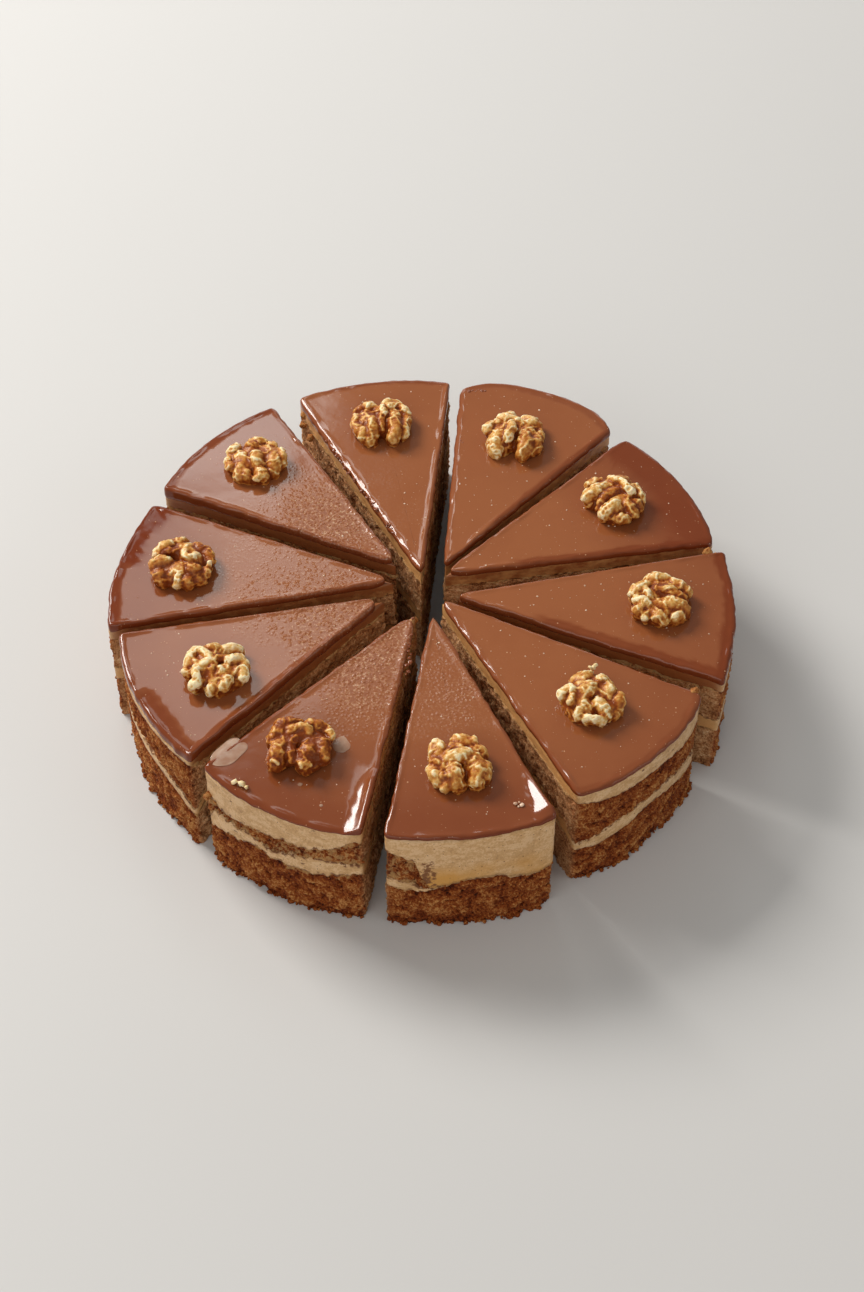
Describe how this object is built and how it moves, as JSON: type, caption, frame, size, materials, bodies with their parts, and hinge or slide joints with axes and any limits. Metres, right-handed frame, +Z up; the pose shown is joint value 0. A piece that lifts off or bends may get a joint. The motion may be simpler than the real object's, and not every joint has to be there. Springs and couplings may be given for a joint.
{
  "type": "coffee walnut cake",
  "caption": "Round layered coffee cake cut into wedges that keep its shape, with cream filling, glazed top and walnut halves.",
  "frame": {"origin": "middle of the cake's bounding box, on the surface that it stands on", "axes": "+Z up; -Y towards the two slices whose cream shows widest at the rim; +X to the right as seen from there"},
  "size_m": [0.257, 0.258, 0.0675],
  "materials": {
    "sponge": "open baked crumb, dull",
    "coffee_cream": "smooth whipped cream, soft sheen",
    "chocolate_glaze": "set poured glaze, satin to glossy",
    "walnut": "dry kernel skin, low sheen"
  },
  "bodies": {
    "root": {"slice_01_lower_sponge": "sponge", "slice_01_filling": "coffee_cream", "slice_01_upper_sponge": "sponge", "slice_01_top_cream": "coffee_cream", "slice_01_glaze": "chocolate_glaze", "slice_01_walnut": "walnut", "slice_02_lower_sponge": "sponge", "slice_02_filling": "coffee_cream", "slice_02_upper_sponge": "sponge", "slice_02_top_cream": "coffee_cream", "slice_02_glaze": "chocolate_glaze", "slice_02_walnut": "walnut", "slice_03_lower_sponge": "sponge", "slice_03_filling": "coffee_cream", "slice_03_upper_sponge": "sponge", "slice_03_top_cream": "coffee_cream", "slice_03_glaze": "chocolate_glaze", "slice_03_walnut": "walnut", "slice_04_lower_sponge": "sponge", "slice_04_filling": "coffee_cream", "slice_04_upper_sponge": "sponge", "slice_04_top_cream": "coffee_cream", "slice_04_glaze": "chocolate_glaze", "slice_04_walnut": "walnut", "slice_05_lower_sponge": "sponge", "slice_05_filling": "coffee_cream", "slice_05_upper_sponge": "sponge", "slice_05_top_cream": "coffee_cream", "slice_05_glaze": "chocolate_glaze", "slice_05_walnut": "walnut", "slice_06_lower_sponge": "sponge", "slice_06_filling": "coffee_cream", "slice_06_upper_sponge": "sponge", "slice_06_top_cream": "coffee_cream", "slice_06_glaze": "chocolate_glaze", "slice_06_walnut": "walnut", "slice_07_lower_sponge": "sponge", "slice_07_filling": "coffee_cream", "slice_07_upper_sponge": "sponge", "slice_07_top_cream": "coffee_cream", "slice_07_glaze": "chocolate_glaze", "slice_07_walnut": "walnut", "slice_08_lower_sponge": "sponge", "slice_08_filling": "coffee_cream", "slice_08_upper_sponge": "sponge", "slice_08_top_cream": "coffee_cream", "slice_08_glaze": "chocolate_glaze", "slice_08_walnut": "walnut", "slice_09_lower_sponge": "sponge", "slice_09_filling": "coffee_cream", "slice_09_upper_sponge": "sponge", "slice_09_top_cream": "coffee_cream", "slice_09_glaze": "chocolate_glaze", "slice_09_walnut": "walnut", "slice_10_lower_sponge": "sponge", "slice_10_filling": "coffee_cream", "slice_10_upper_sponge": "sponge", "slice_10_top_cream": "coffee_cream", "slice_10_glaze": "chocolate_glaze", "slice_10_walnut": "walnut"}
  },
  "joints": []
}
